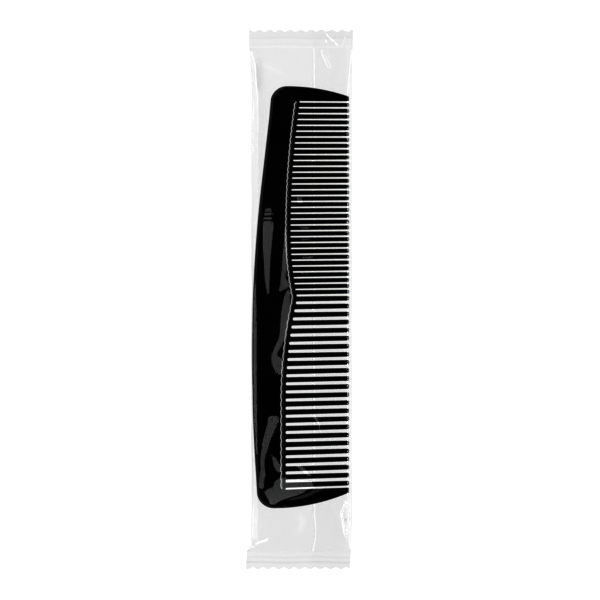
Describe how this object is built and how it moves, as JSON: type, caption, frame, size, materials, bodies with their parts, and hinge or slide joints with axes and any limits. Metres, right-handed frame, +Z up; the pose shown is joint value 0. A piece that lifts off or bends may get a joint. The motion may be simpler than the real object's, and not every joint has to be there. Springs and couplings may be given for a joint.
{
  "type": "pocket hair comb in a clear sachet",
  "caption": "Flat pocket comb with a curved back, fine teeth in one half and coarse teeth in the other, in a clear flow-wrap sachet with crimped ends.",
  "frame": {"origin": "middle of the sachet's footprint, on the surface that it lies on", "axes": "+Y along the comb towards its fine end, +X from the comb's back to its tooth tips, +Z up from the surface"},
  "size_m": [0.0318, 0.1624, 0.0034],
  "materials": {
    "comb_plastic": "polished moulded styrene",
    "clear_film": "clear glossy packing film",
    "seal_film": "clear packing film, heat-sealed and crimped"
  },
  "bodies": {
    "sachet": {"front_panel": "clear_film", "back_left_panel": "clear_film", "back_right_panel": "clear_film", "fin_seal": "clear_film", "fine_end_seal": "seal_film", "coarse_end_seal": "seal_film"},
    "comb": {"spine": "comb_plastic", "fine_end_guard": "comb_plastic", "coarse_end_guard": "comb_plastic", "fine_teeth": "comb_plastic", "coarse_teeth": "comb_plastic"}
  },
  "joints": [
    {"name": "comb_slide", "type": "slide", "parent": "sachet", "child": "comb", "axis": [0, 1, 0], "range_m": [-0.0055, 0.004]}
  ]
}
